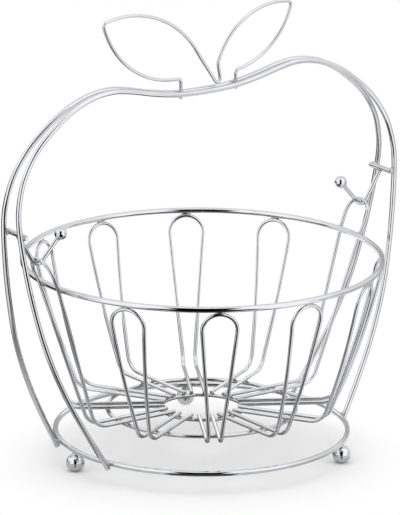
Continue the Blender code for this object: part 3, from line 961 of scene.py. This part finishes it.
whiteLeftRows = (
    (0.26, cardLift, -22, 16, 0.9), (0.50, cardLift, -20, 16, 1.4), (1.2, cardLift, -18, 18, 1.4),
    (2.6, cardLift, -18, 28, 1.4), (2.6, 0.5, -18, 28, 1.4), (2.6, 1.2, -18, 28, 1.3))
greyLeftRows = (
    (0.12, cardLift, -42, 46, 0.50), (0.24, cardLift, -42, 46, 0.25),
    (0.50, cardLift, -42, 46, 0.0), (2.6, cardLift, -42, 46, 0.0), (2.6, 0.30, -42, 46, 0.15))
greyRightGlow = 0.60  # more than on the left
greyRightRows = tuple(
    (distance, height, -far, -near, glow + greyRightGlow)
    for distance, height, near, far, glow in greyLeftRows)
stripRows = (
    (0.007, stripLift, -10, 10, 0.8), (0.012, stripLift, -10, 10, 0.1),
    (0.05, stripLift, -9, 9, 0.0), (0.14, stripLift, -9, 9, 0.0))
cards = {
    "frontGap": {"turn": towardCamera, "soft": 0.25, "rows": gapRows},
    "whiteRight": {"turn": towardCamera + 46, "soft": 0.06, "rows": whiteRightRows},
    "whiteLeft": {"turn": towardCamera - 46, "soft": 0.06, "rows": whiteLeftRows},
    "greyRight": {"turn": towardCamera + 121, "soft": 0.35, "rows": greyRightRows},
    "greyLeft": {"turn": towardCamera - 121, "soft": 0.35, "rows": greyLeftRows},
    # floorShade and leftShade are painted shade: see-through grey sheets that darken the floor the
    # metal reflects
    "floorShade": {"turn": 0, "soft": 0, "kind": "paintedShade", "rows": (
        (0.001, sheetLift, -180, 180, 0.26), (0.075, sheetLift, -180, 180, 0.30),
        (0.10, sheetLift, -180, 180, 0.78), (0.15, sheetLift, -180, 180, 0.78),
        (0.22, sheetLift, -180, 180, 0.45), (0.40, sheetLift, -180, 180, 0.62),
        (0.70, sheetLift, -180, 180, 1.0))},
    "leftShade": {"turn": 150, "soft": 0.6, "kind": "paintedShade", "rows": (
        (0.15, shadeLift, -110, 110, 1.0), (0.22, shadeLift, -110, 110, 0.62),
        (0.35, shadeLift, -110, 110, 0.62), (0.60, shadeLift, -110, 110, 1.0))},
    "greyBack": {"turn": towardCamera + 180, "soft": 0.5, "rows": (
        (2.9, cardLift, -50, 50, 0.50), (2.9, 0.9, -50, 50, 0.50), (2.9, 1.3, -50, 50, 1.0))},
    "whiteRear": {"turn": towardCamera + 180, "soft": 0.1, "kind": "oneSided", "rows": (
        (0.149, 0.136, -44, 54, 1.4), (0.146, 0.062, -44, 54, 1.4))},
    # Painted shade: a dark disc low in the basket, seen from above, stands in for the shade inside
    # the basket
    "basketPaintedShade": {"turn": 0, "soft": 0, "kind": "oneSided", "rows": (
        (0.084, 0.090, -180, 180, 0.30), (0.070, 0.088, -180, 180, 0.10),
        (0.001, 0.080, -180, 180, 0.10))},
    "whiteTop": {"turn": towardCamera, "soft": 0.3, "rows": (
        (3.0, 1.1, -125, 125, 1.0), (3.0, 1.8, -125, 125, 1.4), (3.0, 5.5, -125, 125, 1.4),
        (1.5, 6.5, -125, 125, 1.4), (0.01, 6.8, -125, 125, 1.4))},
}
for place, angle in foot["angles"].items():
    middle = (baseRing["radius"] * math.cos(angle), baseRing["radius"] * math.sin(angle))
    cards["footGap_" + place] = {
        "turn": towardCamera, "soft": 0.3, "middle": middle, "rows": stripRows}


def cardMaterial(name, paintedShade=False, oneSided=False):
    material = bpy.data.materials.new(name)
    tree = emptyTree(material)
    # Painted reflections and painted shade: cardGlow is a card's glow, or the share a sheet lets
    # through
    level = addNode(tree, "ShaderNodeAttribute", attribute_name="cardGlow").outputs["Fac"]
    # A painted shade sheet lets through only the share cardGlow of what lies behind it
    if paintedShade:
        surface = addNode(tree, "ShaderNodeBsdfTransparent", {"Color": level})
    else:
        surface = addNode(tree, "ShaderNodeEmission", {"Color": (1, 1, 1, 1), "Strength": level})
    if oneSided:
        side = addNode(tree, "ShaderNodeNewGeometry")
        clear = addNode(tree, "ShaderNodeBsdfTransparent", {"Color": (1, 1, 1, 1)})
        surface = addNode(tree, "ShaderNodeMixShader", {
            0: side.outputs["Backfacing"], 1: surface.outputs[0], 2: clear.outputs[0]})
    addNode(tree, "ShaderNodeOutputMaterial", {"Surface": surface.outputs[0]})
    return material


def addCard(name, look, material):
    shape = bmesh.new()
    layer = shape.verts.layers.float.new("cardGlow")
    middleX, middleY = look.get("middle", (0, 0))
    rows = []
    for distance, height, near, far, glow in look["rows"]:
        row = []
        for step in range(cardColumns + 1):
            share = step / cardColumns
            angle = math.radians(look["turn"] + near + (far - near) * share)
            vert = shape.verts.new((
                middleX + distance * math.cos(angle), middleY + distance * math.sin(angle),
                height))
            toEdge = 1 - abs(2 * share - 1)
            inside = min(1, toEdge / look["soft"]) if look["soft"] else 1
            vert[layer] = 1 + (glow - 1) * inside
            row.append(vert)
        rows.append(row)
    for low, high in zip(rows, rows[1:]):
        for step in range(cardColumns):
            shape.faces.new((low[step], low[step + 1], high[step + 1], high[step]))
    mesh = meshOf(shape, name)
    mesh.materials.append(material)
    card = bpy.data.objects.new(name, mesh)
    scene.collection.objects.link(card)
    card.visible_camera = False
    card.visible_diffuse = False
    card.visible_shadow = False
    card.visible_transmission = False


cardMaterials = {
    "glowing": cardMaterial("paintedReflectionGlow"),
    "paintedShade": cardMaterial("paintedShadeSheet", paintedShade=True),
    "oneSided": cardMaterial("oneSidedCard", oneSided=True),
}
for name, look in cards.items():
    addCard(name, look, cardMaterials[look.get("kind", "glowing")])
print("cards set:", len(cards))


# Light: a white room and three soft lamps
lightSetup = {
    "roomForDiffuse": 0.88,
    "aim": (0, 0, 0.12),
    "lamps": {  # degrees from X, height, distance, size, power
        "overheadLamp": (towardCamera, 2.4, 0.3, 1.6, 10.0),
        "leftLamp": (176.0, 1.4, 2.0, 2.0, 12.5),
        "rightLamp": (-67.0, 1.4, 2.0, 2.0, 12.5),
    },
}


def addLights(setup):
    world = bpy.data.worlds.new("whiteRoom")
    scene.world = world
    tree = emptyTree(world)
    level = mapRange(
        tree, seenStraight(tree), 0.0, 1.0, setup["roomForDiffuse"], 1.0, smooth=False)
    room = addNode(tree, "ShaderNodeBackground", {"Color": (1, 1, 1, 1), "Strength": level})
    addNode(tree, "ShaderNodeOutputWorld", {"Surface": room.outputs[0]})
    for name, (turn, height, distance, size, power) in setup["lamps"].items():
        lamp = bpy.data.lights.new(name, "AREA")
        lamp.shape = "SQUARE"
        lamp.size = size
        lamp.energy = power
        holder = bpy.data.objects.new(name, lamp)
        spot = polar(distance, math.radians(turn), height)
        aim = (Vector(setup["aim"]) - spot).to_track_quat("-Z", "Y").to_matrix().to_4x4()
        holder.matrix_world = Matrix.Translation(spot) @ aim
        holder.visible_glossy = False
        scene.collection.objects.link(holder)


addLights(lightSetup)
print("floor and light set")
